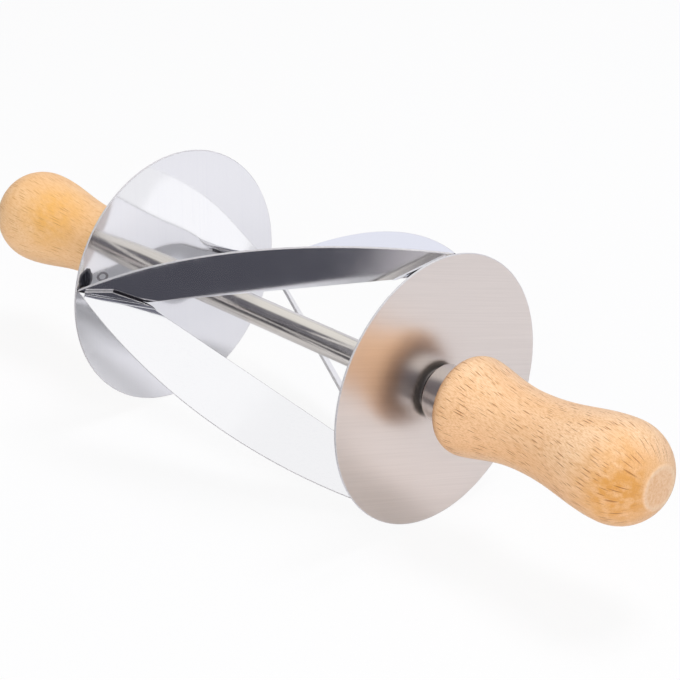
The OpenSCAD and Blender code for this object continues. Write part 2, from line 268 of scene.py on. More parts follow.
    # end grain on the flat: pale and dotted, with a painted highlight on the rim round it
    dotAt = addNode(tree, "Mapping", {"Scale": repeats(*look["endSize"])}, {"Vector": place})
    dot = addNode(tree, "TexNoise", {"Scale": 1.0, "Detail": 3.0, "Roughness": 0.65}, {"Vector": dotAt})
    dotMix = addNode(tree, "MapRange", {"From Min": 0.4, "From Max": 0.68}, {"Value": dot})
    endWood = addNode(tree, "Mix", {**rgba, 6: tint(look["endPale"]), 7: tint(look["endDeep"])}, {0: dotMix})
    clear, full = ((end - f) * mm for f in look["flatFade"])
    flatPart = addNode(tree, "MapRange", {"From Min": clear, "From Max": full, "To Max": look["flatShare"]},
                       {"Value": outward})
    wood = addNode(tree, "Mix", rgba, {0: flatPart, 6: wood, 7: endWood})
    acrossAt = addNode(tree, "Mapping", {"Scale": (0, 1, 1)}, {"Vector": place})
    radius = addNode(tree, "VectorMath", {"operation": "LENGTH"}, {0: acrossAt})
    offRim = addNode(tree, "Math", {"operation": "SUBTRACT", 1: look["endRadius"] * mm},
                     {0: radius.outputs["Value"]})
    rimGap = addNode(tree, "Math", {"operation": "ABSOLUTE"}, {0: offRim})
    clear, full = (f * mm for f in look["rimWidth"])
    rimBand = addNode(tree, "MapRange", {"From Min": clear, "From Max": full, "To Max": look["rimHighlightShare"]},
                      {"Value": rimGap})
    clear, full = ((end - f) * mm for f in look["rimFade"])
    rimPart = addNode(tree, "MapRange", {"From Min": clear, "From Max": full}, {"Value": outward})
    # the painted highlight on the rim is broken up by the mottle
    rimHighlightPart = addNode(tree, "Math", {"operation": "MULTIPLY"}, {0: rimPart, 1: mottleMix})
    rimHighlight = addNode(tree, "Math", {"operation": "MULTIPLY"}, {0: rimBand, 1: rimHighlightPart})
    wood = addNode(tree, "Mix", {**rgba, 7: tint(look["endRimHighlight"])}, {0: rimHighlight, 6: wood})
    # relief: rays and pores a little sunk, faint lathe marks round the handle
    latheAt = addNode(tree, "Mapping", {"Scale": repeats(*look["latheSize"])}, {"Vector": place})
    lathe = addNode(tree, "TexNoise", {"Scale": 1.0, "Detail": 1.0}, {"Vector": latheAt})
    sunk = addNode(tree, "Math", {"operation": "MULTIPLY_ADD", 1: -0.8}, {0: rayMix, 2: lathe})
    relief = addNode(tree, "Math", {"operation": "MULTIPLY_ADD", 1: -0.5}, {0: poreMix, 2: sunk})
    bump = addNode(tree, "Bump", {"Strength": 0.5, "Distance": 0.06 * mm}, {"Height": relief})
    gloss = addNode(tree, "MapRange", {"To Min": 0.46, "To Max": 0.6}, {"Value": cloud})
    linkAll(tree, shader, {"Base Color": wood, "Roughness": gloss, "Normal": bump})
    return mat


# Mirror polished stainless sheet: clear reflections that wander a little with the roller
# marks of the sheet, and a faint haze of polishing lines, drawn wider than real to show
mirrorLook = {
    "metal": "#F2F2F4", "haze": "#EFEFF2", "wave": 34.0, "cloud": 12.0,
    "lineLength": 45.0, "lineWidth": 0.35,
}


def mirrorStainless(name, look, along):
    mat, tree, shader, place = newMaterial(name, {"Metallic": 1.0})
    wave = addNode(tree, "TexNoise", {"Scale": 1 / (look["wave"] * mm), "Detail": 0.0}, {"Vector": place})
    cloud = addNode(tree, "TexNoise", {
        "Scale": 1 / (look["cloud"] * mm), "Detail": 4.0, "Roughness": 0.6,
    }, {"Vector": place})
    lineSize = [look["lineWidth"]] * 3
    lineSize[along] = look["lineLength"]
    lineAt = addNode(tree, "Mapping", {"Scale": repeats(*lineSize)}, {"Vector": place})
    line = addNode(tree, "TexNoise", {"Scale": 1.0, "Detail": 2.0}, {"Vector": lineAt})
    lineMix = addNode(tree, "MapRange", {"From Min": 0.5, "From Max": 0.8}, {"Value": line})
    metal = addNode(tree, "Mix", {**rgba, 6: tint(look["metal"]), 7: tint(look["haze"])}, {0: lineMix})
    gloss = addNode(tree, "MapRange", {"From Min": 0.3, "From Max": 0.8, "To Min": 0.05, "To Max": 0.1},
                    {"Value": cloud})
    rough = addNode(tree, "Math", {"operation": "MULTIPLY_ADD", 1: 0.012}, {0: lineMix, 2: gloss})
    roll = addNode(tree, "Bump", {"Strength": 0.35, "Distance": 0.25 * mm}, {"Height": wave})
    fine = addNode(tree, "Bump", {"Strength": 0.01, "Distance": 0.01 * mm}, {"Height": line, "Normal": roll})
    linkAll(tree, shader, {"Base Color": metal, "Roughness": rough, "Normal": fine})
    return mat


# Satin brushed stainless sheet: a soft grey sheen with blurred reflections,
# and faint straight hairlines, drawn wider than real to show
satinLook = {
    "metal": "#E3DAD4", "line": "#DDD4CE", "lineLength": 60.0, "lineWidth": 0.7, "cloud": 20.0,
    "lineTurn": -18.0, "rough": (0.278, 0.305), "metallic": 0.94, "relief": 0.012,
}
# Ground edge of the sheet: duller than the face, so that it catches the light all round,
# with short marks across it
cutLook = {
    "metal": "#E4E2E4", "line": "#C9C7CA", "lineLength": 2.5, "lineWidth": 0.3, "cloud": 4.0,
    "lineTurn": 0.0, "rough": (0.5, 0.62), "metallic": 0.55, "relief": 0.05,
}
# Corners of the straight inner edges of the blades: near black, painted shade along those edges
innerEdgeShadeLook = dict(cutLook, metal="#4E4C52", line="#3E3C42", metallic=0.9)


def satinStainless(name, look, along):
    mat, tree, shader, place = newMaterial(name, {"Metallic": look["metallic"]})
    lineSize = [look["lineWidth"] * mm] * 3
    lineSize[along] = look["lineLength"] * mm
    lineAt = addNode(tree, "Mapping", {
        "vector_type": "TEXTURE", "Rotation": (math.radians(look["lineTurn"]), 0, 0), "Scale": lineSize,
    }, {"Vector": place})
    line = addNode(tree, "TexNoise", {"Scale": 1.0, "Detail": 3.0, "Roughness": 0.65}, {"Vector": lineAt})
    cloud = addNode(tree, "TexNoise", {"Scale": 1 / (look["cloud"] * mm), "Detail": 3.0}, {"Vector": place})
    lineMix = addNode(tree, "MapRange", {"From Min": 0.4, "From Max": 0.75}, {"Value": line})
    metal = addNode(tree, "Mix", {**rgba, 6: tint(look["metal"]), 7: tint(look["line"])}, {0: lineMix})
    gloss = addNode(tree, "MapRange", {
        "From Min": 0.3, "From Max": 0.7, "To Min": look["rough"][0], "To Max": look["rough"][1],
    }, {"Value": cloud})
    bump = addNode(tree, "Bump", {"Strength": look["relief"], "Distance": 0.01 * mm}, {"Height": line})
    linkAll(tree, shader, {"Base Color": metal, "Roughness": gloss, "Normal": bump})
    return mat


# Drawn stainless tube: bright, with lengthwise draw lines that break its streaks of light,
# drawn wider than real to show
tubeLook = {
    "metal": "#DDD8D1", "line": "#B3ACA3", "lineSize": (70.0, 0.6, 0.6), "fleckSize": (6.6, 2.2, 2.2),
}


def drawnTube(name, look):
    mat, tree, shader, place = newMaterial(name, {"Metallic": 1.0})
    lineAt = addNode(tree, "Mapping", {"Scale": repeats(*look["lineSize"])}, {"Vector": place})
    line = addNode(tree, "TexNoise", {"Scale": 1.0, "Detail": 3.0, "Roughness": 0.6}, {"Vector": lineAt})
    lineMix = addNode(tree, "MapRange", {"From Min": 0.5, "From Max": 0.85}, {"Value": line})
    fleckAt = addNode(tree, "Mapping", {"Scale": repeats(*look["fleckSize"])}, {"Vector": place})
    fleck = addNode(tree, "TexNoise", {"Scale": 1.0, "Detail": 4.0}, {"Vector": fleckAt})
    metal = addNode(tree, "Mix", {**rgba, 6: tint(look["metal"]), 7: tint(look["line"])}, {0: lineMix})
    gloss = addNode(tree, "MapRange", {"From Min": 0.3, "From Max": 0.8, "To Min": 0.14, "To Max": 0.26},
                    {"Value": fleck})
    bump = addNode(tree, "Bump", {"Strength": 0.3, "Distance": 0.02 * mm}, {"Height": line})
    linkAll(tree, shader, {"Base Color": metal, "Roughness": gloss, "Normal": bump})
    return mat


# Turned steel: grey, with fine tool marks that run round the axis
turnedLook = {
    "metal": "#B4B3B5", "groove": "#7F7E82", "markSize": (0.35, 30.0, 30.0), "cloud": 6.0,
    "relief": 0.4, "rough": (0.3, 0.45),
}
# The ferrules are polished after turning
ferruleLook = {
    "metal": "#DEDAD8", "groove": "#CFCBC9", "markSize": (0.6, 30.0, 30.0), "cloud": 8.0,
    "relief": 0.08, "rough": (0.07, 0.12),
}


def turnedSteel(name, look):
    mat, tree, shader, place = newMaterial(name, {"Metallic": 1.0})
    markAt = addNode(tree, "Mapping", {"Scale": repeats(*look["markSize"])}, {"Vector": place})
    mark = addNode(tree, "TexNoise", {"Scale": 1.0, "Detail": 3.0, "Roughness": 0.6}, {"Vector": markAt})
    markMix = addNode(tree, "MapRange", {"From Min": 0.5, "From Max": 0.8, "To Max": 0.7}, {"Value": mark})
    cloud = addNode(tree, "TexNoise", {"Scale": 1 / (look["cloud"] * mm), "Detail": 4.0}, {"Vector": place})
    metal = addNode(tree, "Mix", {**rgba, 6: tint(look["metal"]), 7: tint(look["groove"])}, {0: markMix})
    gloss = addNode(tree, "MapRange", {
        "From Min": 0.3, "From Max": 0.7, "To Min": look["rough"][0], "To Max": look["rough"][1],
    }, {"Value": cloud})
    bump = addNode(tree, "Bump", {"Strength": look["relief"], "Distance": 0.02 * mm}, {"Height": mark})
    linkAll(tree, shader, {"Base Color": metal, "Roughness": gloss, "Normal": bump})
    return mat


# Weld metal: rough steel with straw and blue heat colours in bands
weldLook = {"steel": "#96949A", "straw": "#9A8E7C", "blue": "#6A6C7E", "band": 1.1, "grit": 0.3}


def heatTintedWeld(name, look):
    mat, tree, shader, place = newMaterial(name, {"Metallic": 1.0})
    band = addNode(tree, "TexNoise", {
        "Scale": 1 / (look["band"] * mm), "Detail": 2.0, "Distortion": 0.6,
    }, {"Vector": place})
    strawMix = addNode(tree, "MapRange", {"From Min": 0.38, "From Max": 0.55}, {"Value": band})
    blueMix = addNode(tree, "MapRange", {"From Min": 0.55, "From Max": 0.72}, {"Value": band})
    metal = addNode(tree, "Mix", {**rgba, 6: tint(look["steel"]), 7: tint(look["straw"])}, {0: strawMix})
    metal = addNode(tree, "Mix", {**rgba, 7: tint(look["blue"])}, {0: blueMix, 6: metal})
    grit = addNode(tree, "TexNoise", {"Scale": 1 / (look["grit"] * mm), "Detail": 3.0}, {"Vector": place})
    gloss = addNode(tree, "MapRange", {"To Min": 0.3, "To Max": 0.55}, {"Value": grit})
    bump = addNode(tree, "Bump", {"Strength": 0.6, "Distance": 0.08 * mm}, {"Height": grit})
    linkAll(tree, shader, {"Base Color": metal, "Roughness": gloss, "Normal": bump})
    return mat


# Spot weld: grey on the pressed ring, and beside it a near-black streaked patch that is painted shade
weldShadeLook = {"shadeDark": "#26272D", "shadeStreak": "#55565F", "ring": "#98969A", "streakSize": (1.0, 0.5, 3.5)}


def weldSpotWithShade(name, look):
    mat, tree, shader, place = newMaterial(name, {"Metallic": 1.0})
    streakAt = addNode(tree, "Mapping", {"Scale": repeats(*look["streakSize"])}, {"Vector": place})
    streak = addNode(tree, "TexNoise", {"Scale": 1.0, "Detail": 3.0, "Roughness": 0.6}, {"Vector": streakAt})
    streakMix = addNode(tree, "MapRange", {"From Min": 0.45, "From Max": 0.7}, {"Value": streak})
    shadeColour = addNode(tree, "Mix", {**rgba, 6: tint(look["shadeDark"]), 7: tint(look["shadeStreak"])}, {0: streakMix})
    paintedShade = addNode(tree, "Attribute", {"attribute_name": "paintedShade"})
    metal = addNode(tree, "Mix", {**rgba, 6: tint(look["ring"])}, {0: paintedShade.outputs["Fac"], 7: shadeColour})
    gloss = addNode(tree, "MapRange", {"To Min": 0.34, "To Max": 0.52}, {"Value": streak})
    bump = addNode(tree, "Bump", {"Strength": 0.4, "Distance": 0.03 * mm}, {"Height": streak})
    linkAll(tree, shader, {"Base Color": metal, "Roughness": gloss, "Normal": bump})
    return mat


# Nylon: a soft sheen over a faintly pebbled moulded skin
nylonLook = {
    "natural": ("#E6E1D4", "#D8D2C2"), "black": ("#1B1B1D", "#2B2B2E"), "pebble": 0.5, "cloud": 5.0,
}


def mouldedNylon(name, look, shade):
    mat, tree, shader, place = newMaterial(name, {"IOR": 1.53})
    cloud = addNode(tree, "TexNoise", {"Scale": 1 / (look["cloud"] * mm), "Detail": 3.0}, {"Vector": place})
    pebble = addNode(tree, "TexNoise", {"Scale": 1 / (look["pebble"] * mm), "Detail": 2.0}, {"Vector": place})
    skin = addNode(tree, "Mix", {**rgba, 6: tint(look[shade][0]), 7: tint(look[shade][1])}, {0: cloud})
    gloss = addNode(tree, "MapRange", {"To Min": 0.4, "To Max": 0.6}, {"Value": pebble})
    bump = addNode(tree, "Bump", {"Strength": 0.3, "Distance": 0.02 * mm}, {"Height": pebble})
    linkAll(tree, shader, {"Base Color": skin, "Roughness": gloss, "Normal": bump})
    return mat


finish = {
    "rightBeech": lacqueredBeech("lacqueredBeechRight", rightBeechLook),
    "leftBeech": lacqueredBeech("lacqueredBeechLeft", leftBeechLook),
    "blade": mirrorStainless("mirrorStainlessBlade", mirrorLook, 0),
    "mirrorDisc": mirrorStainless("mirrorStainlessDisc", mirrorLook, 2),
    "satinDisc": satinStainless("satinStainlessDisc", satinLook, 1),
    "cutEdge": satinStainless("groundSheetEdge", cutLook, 0),
    "innerEdgeShade": satinStainless("paintedShadeSheetCorner", innerEdgeShadeLook, 0),
    "tube": drawnTube("drawnStainlessTube", tubeLook),
    "ferrule": turnedSteel("polishedSteelFerrule", ferruleLook),
    "plain": turnedSteel("turnedSteelPlain", turnedLook),
    "weld": heatTintedWeld("heatTintedWeld", weldLook),
    "paintedShade": weldSpotWithShade("spotWeldPaintedShade", weldShadeLook),
    "naturalNylon": mouldedNylon("mouldedNylonNatural", nylonLook, "natural"),
    "blackNylon": mouldedNylon("mouldedNylonBlack", nylonLook, "black"),
}
print("materials made:", len(finish))


# Turned pieces: a node tree turns a profile line round the X axis

def turningTree():
    tree, given = newTree("turnProfile", {
        "Profile": "Geometry", "Sides": "Int", "Weld Distance": "Float", "Crease": "Float",
        "Material": "Material",
    }, "Turned")
    count = addNode(tree, "AttributeDomainSize", {"component": "MESH"}, {"Geometry": given["Profile"]})
    columns = addNode(tree, "Math", {"operation": "ADD", 1: 1.0}, {0: given["Sides"]})
    grid = addNode(tree, "MeshGrid", {"Size X": 1.0, "Size Y": 1.0},
                   {"Vertices X": count.outputs["Point Count"], "Vertices Y": columns})
    at = addNode(tree, "SeparateXYZ", None, {"Vector": grid.outputs["UV Map"]})
    lastRow = addNode(tree, "Math", {"operation": "SUBTRACT", 1: 1.0}, {0: count.outputs["Point Count"]})
    row = addNode(tree, "Math", {"operation": "MULTIPLY_ADD", 2: 0.5}, {0: at.outputs["X"], 1: lastRow})
    where = addNode(tree, "InputPosition")
    point = addNode(tree, "SampleIndex", {"data_type": "FLOAT_VECTOR"},
                    {"Geometry": given["Profile"], "Value": where, "Index": row})
    line = addNode(tree, "SeparateXYZ", None, {"Vector": point})
    turn = addNode(tree, "Math", {"operation": "MULTIPLY", 1: 2 * math.pi}, {0: at.outputs["Y"]})
    cosine = addNode(tree, "Math", {"operation": "COSINE"}, {0: turn})
    sine = addNode(tree, "Math", {"operation": "SINE"}, {0: turn})
    across = addNode(tree, "Math", {"operation": "MULTIPLY"}, {0: line.outputs["Y"], 1: cosine})
    upward = addNode(tree, "Math", {"operation": "MULTIPLY"}, {0: line.outputs["Y"], 1: sine})
    spot = addNode(tree, "CombineXYZ", None, {"X": line.outputs["X"], "Y": across, "Z": upward})
    body = addNode(tree, "SetPosition", None, {"Geometry": grid, "Position": spot})
    closed = addNode(tree, "MergeByDistance", None, {"Geometry": body, "Distance": given["Weld Distance"]})
    angle = addNode(tree, "InputMeshEdgeAngle")
    soft = addNode(tree, "Compare", {"operation": "LESS_THAN"}, {"A": angle, "B": given["Crease"]})
    smoothFaces = addNode(tree, "SetShadeSmooth", {"domain": "FACE", "Shade Smooth": True},
                          {"Geometry": closed})
    smoothEdges = addNode(tree, "SetShadeSmooth", {"domain": "EDGE"},
                          {"Geometry": smoothFaces, "Shade Smooth": soft})
    real = addNode(tree, "RealizeInstances", None, {"Geometry": smoothEdges})
    painted = addNode(tree, "SetMaterial", None, {"Geometry": real, "Material": given["Material"]})
    addNode(tree, "GroupOutput", None, {"Turned": painted})
    return tree


turning = turningTree()
weldDistance = 0.002 * mm  # points of a turned mesh that are closer than this become one


def turnPiece(name, profile, material, sides, side=1, crease=28):
    mesh = bpy.data.meshes.new(name + "Profile")
    steps = [(i, i + 1) for i in range(len(profile) - 1)]
    mesh.from_pydata([(side * x * mm, r * mm, 0) for x, r in profile], steps, [])
    values = {
        "Sides": sides, "Weld Distance": weldDistance, "Crease": math.radians(crease),
        "Material": material,
    }
    return runTree(turning, mesh, values, name)


def turnRing(name, ring, material, side=1, steps=4):  # a ring with all four edges rounded
    edge = ring["edge"]
    near, far = ring["from"] + edge, ring["to"] - edge
    inner, outer = ring["hole"] + edge, ring["radius"] - edge
    points = []
    for x, r, start in ((near, inner, 270), (near, outer, 180), (far, outer, 90), (far, inner, 0)):
        for i in range(steps + 1):
            a = math.radians(start - 90 * i / steps)
            points.append((x + edge * math.cos(a), r + edge * math.sin(a)))
    return turnPiece(name, points + points[:1], material, ring["sides"], side)


# Handles

turnedHandle = {
    "start": 77.0, "length": 83.7, "front": 12.0, "shoulder": 17.1, "shoulderAt": 6.2,
    "waist": 13.3, "waistAt": 31.0, "bulb": 17.4, "bulbAt": 67.8, "fall": 0.75, "rise": 1.15,
    "flat": 7.0, "flatEdge": 0.25, "endStart": 0.99, "seat": 10.05, "seatDepth": 10.0,
    "seatLip": (0.4, 0.12), "bore": 7.05, "boreEnd": 53.8, "steps": 26, "sides": 144, "crease": 12,
}


def handleProfile(h):
    n = h["steps"]
    swell = lambda u, bias: (1 - math.cos(math.pi * u ** bias)) / 2
    endTurn = math.acos(h["flat"] / h["bulb"])
    endAxis = (h["length"] - h["bulbAt"]) / math.sin(endTurn)
    points = [(h["length"], 0), (h["length"], h["flat"] / 2), (h["length"], h["flat"] - h["flatEdge"])]
    for i in range(n + 1):  # rounded end, from the edge of the flat back to the bulb
        u = endTurn * h["endStart"] * (1 - i / n)
        points.append((h["bulbAt"] + endAxis * math.sin(u), h["bulb"] * math.cos(u)))
    # bulb to waist, then waist to shoulder
    for near, far, bias in (("waist", "bulb", "rise"), ("shoulder", "waist", "fall")):
        for i in range(1, n + 1):
            u = 1 - i / n
            x = h[near + "At"] + (h[far + "At"] - h[near + "At"]) * u
            points.append((x, h[near] + (h[far] - h[near]) * swell(u, h[bias])))
    for i in range(1, n + 1):  # rounded front
        u = math.radians(90 * (1 - i / n))
        points.append((
            h["shoulderAt"] * (1 - math.cos(u)), h["front"] + (h["shoulder"] - h["front"]) * math.sin(u),
        ))
    lip, lipMid = h["seatLip"]
    points += [
        (0, h["seat"] + lip), (lipMid, h["seat"] + lipMid), (lip, h["seat"]), (h["seatDepth"], h["seat"]),
        (h["seatDepth"], h["bore"]), (h["boreEnd"], h["bore"]), (h["boreEnd"], 0),
    ]
    return [(h["start"] + x, r) for x, r in points]


for label, side in (("left", -1), ("right", 1)):
    h = turnedHandle
    piece = turnPiece(label + "BeechHandle", handleProfile(h), finish[label + "Beech"], h["sides"], side,
                      h["crease"])
    settle(piece, label + "_grip", label + "_handle")
print("handles turned")


# Discs, hub rings, washers, ferrules and the tube

discSheet = {"from": 65.7, "to": 66.5, "radius": 47.5, "hole": 2.7, "edge": 0.26, "sides": 360}
hubRing = {"from": 66.5, "to": 67.3, "radius": 8.0, "hole": 2.7, "edge": 0.18, "sides": 128}
thrustWasher = {"from": 67.3, "to": 68.3, "radius": 8.7, "hole": 4.2, "edge": 0.12, "sides": 128}
ferrule = {"from": 68.3, "to": 87.0, "radius": 10.0, "hole": 9.0, "edge": 0.45, "sides": 192}
axleTube = {"from": -65.7, "to": 65.7, "radius": 5.0, "hole": 3.75, "edge": 0.1, "sides": 128}

for label, side in (("left", -1), ("right", 1)):
    look, slot = ("mirrorDisc", "mirror_steel") if side < 0 else ("satinDisc", "satin_steel")
    piece = turnRing(label + "SheetDisc", discSheet, finish[look], side)
    piece.data.materials.append(finish["cutEdge"])
    for face in piece.data.polygons:
        if math.hypot(face.center.y, face.center.z) > (discSheet["radius"] - discSheet["edge"]) * mm:
            face.material_index = 1
    settle(piece, "drum", label + "_disc")
    piece = turnRing(label + "HubRing", hubRing, finish["plain"], side)
    settle(piece, "drum", label + "_hub_ring")
    piece = turnRing(label + "ThrustWasher", thrustWasher, finish["blackNylon"], side)
    settle(piece, "drum", label + "_thrust_washer")
    piece = turnRing(label + "Ferrule", ferrule, finish["ferrule"], side)
    settle(piece, label + "_grip", label + "_ferrule")
piece = turnRing("axleTube", axleTube, finish["tube"])
settle(piece, "drum", "axle_tube")
print("discs, rings, washers, ferrules and tube turned")


# Blades: one sheet with a bent flap, laid out flat and set four times round the axis

bladeSheet = {
    "discRadius": 47.5, "span": 131.4, "thick": 0.8, "tipTurn": 10.5, "tipGap": 0.3,
    "innerEdge": 23.5, "edgeInset": 1.8, "bendInside": 1.5,
    "flapWide": 3.0, "flapPeak": 13.5, "flapStart": 3.0, "flapGap": 0.05,
    "arcSteps": 120, "bendSteps": 14, "edge": 0.2, "edgeTurn": 50, "cornerFacing": (0.2, 0.97),
}


def bladeLayout(b):
    k = dict(b)
    k["tipR"] = b["discRadius"] - b["tipGap"]
    k["tipX"] = b["span"] / 2 - b["tipGap"]
    k["chordH"] = k["tipR"] / math.sqrt(2)
    k["halfChord"] = math.hypot(k["tipX"], k["chordH"])
    k["skew"] = math.atan2(k["chordH"], k["tipX"])
    k["rise"] = b["discRadius"] - b["edgeInset"] - k["chordH"]
    k["arcR"] = (k["halfChord"] ** 2 + k["rise"] ** 2) / (2 * k["rise"])
    k["foldLen"] = math.hypot(k["tipX"], k["tipR"])
    k["foldTurn"] = math.atan2(k["chordH"], k["halfChord"])
    wedge = 2 * math.asin(k["foldLen"] / math.sqrt(k["tipR"] ** 2 + 2 * k["tipX"] ** 2))
    k["bendR"] = b["bendInside"] + b["thick"] / 2
    k["bendTurn"] = math.pi - wedge
    k["bendBack"] = (k["bendR"] * (1 + math.cos(wedge)) + b["thick"] + b["flapGap"]) / math.sin(wedge)
    k["tipBack"] = (b["thick"] / 2 * (1 + abs(math.cos(wedge))) + b["flapGap"]) / math.sin(wedge)
    k["flapNear"] = k["foldLen"] - b["flapStart"]
    # the inner end of the flap slants from its peak across the bend to the inner edge
    k["foldCorner"] = (b["innerEdge"] - k["bendBack"] * math.cos(k["foldTurn"])) / math.sin(k["foldTurn"])
    k["peakX"] = k["foldLen"] - b["flapPeak"]
    a = k["bendTurn"]
    drop = k["bendR"] * (1 - math.cos(a)) + b["flapWide"] * math.sin(a)
    k["slant"] = drop / (k["peakX"] - k["foldCorner"])
    return k


def bladeMesh(k):
    c, s = math.cos(k["foldTurn"]), math.sin(k["foldTurn"])
    fold = lambda x, y: (x * c - y * s, x * s + y * c)  # fold line coordinates to the sheet's own
    arcY = k["chordH"] + k["rise"] - k["arcR"]
    tipA = math.atan2(k["chordH"] - arcY, -k["halfChord"])
    # where the arc meets the trimmed right end
    dist = c * arcY - k["tipBack"]
    along = math.sqrt(k["arcR"] ** 2 - dist ** 2) + s * arcY
    endX, endY = fold(along, k["tipBack"])
    endA = math.atan2(endY - arcY, endX)
    flat = [(-k["innerEdge"] / math.tan(k["foldTurn"]), k["innerEdge"])]
    for i in range(k["arcSteps"] + 1):
        a = tipA + (endA - tipA) * i / k["arcSteps"]
        flat.append((k["arcR"] * math.cos(a), arcY + k["arcR"] * math.sin(a)))
    flat.append(fold(k["flapNear"], k["tipBack"]))
    flat += [fold(k["flapNear"], k["bendBack"]), fold(k["foldCorner"], k["bendBack"])]
    bm = bmesh.new()
    verts = [bm.verts.new((x, y, 0)) for x, y in flat]
    bm.faces.new(verts).smooth = False
    row = [verts[-2], verts[-1]]
    for i in range(1, k["bendSteps"] + 1):
        a = k["bendTurn"] * i / k["bendSteps"]
        y, z = k["bendBack"] - k["bendR"] * math.sin(a), -k["bendR"] * (1 - math.cos(a))
        new = [bm.verts.new((*fold(x, y), z)) for x in (k["flapNear"], k["foldCorner"] - z / k["slant"])]
        bm.faces.new((row[0], row[1], new[1], new[0])).smooth = True
        row = new
    a = k["bendTurn"]
    y = k["bendBack"] - k["bendR"] * math.sin(a) - k["flapWide"] * math.cos(a)
    z = -k["bendR"] * (1 - math.cos(a)) - k["flapWide"] * math.sin(a)
    peak = bm.verts.new((*fold(k["peakX"], y), z))
    bm.faces.new((row[0], row[1], peak)).smooth = False
    bmesh.ops.recalc_face_normals(bm, faces=bm.faces)
    bmesh.ops.scale(bm, vec=(mm, mm, mm), verts=bm.verts)
    mesh = bpy.data.meshes.new("bladeSheet")
    bm.to_mesh(mesh)
    bm.free()
    return mesh


def bladePlace(k, turn, lean):
    place = Matrix.Rotation(math.pi - turn, 4, "X") @ Matrix.Rotation(lean * k["skew"], 4, "Y")
    return place if lean > 0 else place @ Matrix.Scale(-1, 4, (1, 0, 0))


layout = bladeLayout(bladeSheet)
cornerLow, cornerHigh = bladeSheet["cornerFacing"]
for label, node, offset, lean in (
    ("frontUpper", "front_upper_blade", 45, 1), ("frontLower", "front_lower_blade", -45, -1),
    ("rearUpper", "rear_upper_blade", 135, -1), ("rearLower", "rear_lower_blade", -135, 1),
):
    raw = addObject(label + "Raw", bladeMesh(layout))
    place = bladePlace(layout, math.radians(bladeSheet["tipTurn"] + offset), lean)
    raw.data.transform(place)
    for look in ("blade", "cutEdge", "innerEdgeShade"):
        raw.data.materials.append(finish[look])
    wall = raw.modifiers.new("sheet", "SOLIDIFY")
    wall.material_offset_rim = 1
    wall.thickness = bladeSheet["thick"] * mm
    wall.offset = 0
    wall.use_even_offset = True
    edge = raw.modifiers.new("edge", "BEVEL")
    edge.width = bladeSheet["edge"] * mm
    edge.segments = 2
    edge.material = 1
    edge.limit_method = "ANGLE"
    edge.angle_limit = math.radians(bladeSheet["edgeTurn"])
    piece = keepMesh(raw, label + "Blade")
    faceOut(piece.data)
    # edge corners that face inwards take the painted shade
    inward = place.to_3x3() @ Vector((0, -1, 0))
    for face in piece.data.polygons:
        if face.material_index == 1 and cornerLow < face.normal.dot(inward) < cornerHigh:
            face.material_index = 2
    settle(piece, "drum", node)
print("blades bent and placed")


# Spot weld marks on the inner faces of the discs, beside each pair of blade tips: a pressed ring and a patch
# of painted shade

markSizes = {  # inputs of the node tree
    "Ring At": 36.2 * mm, "Ring Radius": 1.4 * mm, "Ring Wire": 0.4 * mm, "Ring Flat": 0.3,
    "Shade At": 43.8 * mm, "Shade Up": 1.3 * mm, "Shade Radius": 3.0 * mm, "Shade Flat": 0.035,
    "Ragged": 1.6 * mm, "Ragged Scale": 1 / (2.2 * mm),
}
markShape = {"ringLong": 1.5, "ringShade": 0.1, "shadeLong": 1.4, "shadeWhole": 0.68, "edgeShade": 0.2}
markTurn = -6.0  # degrees from the blade tip


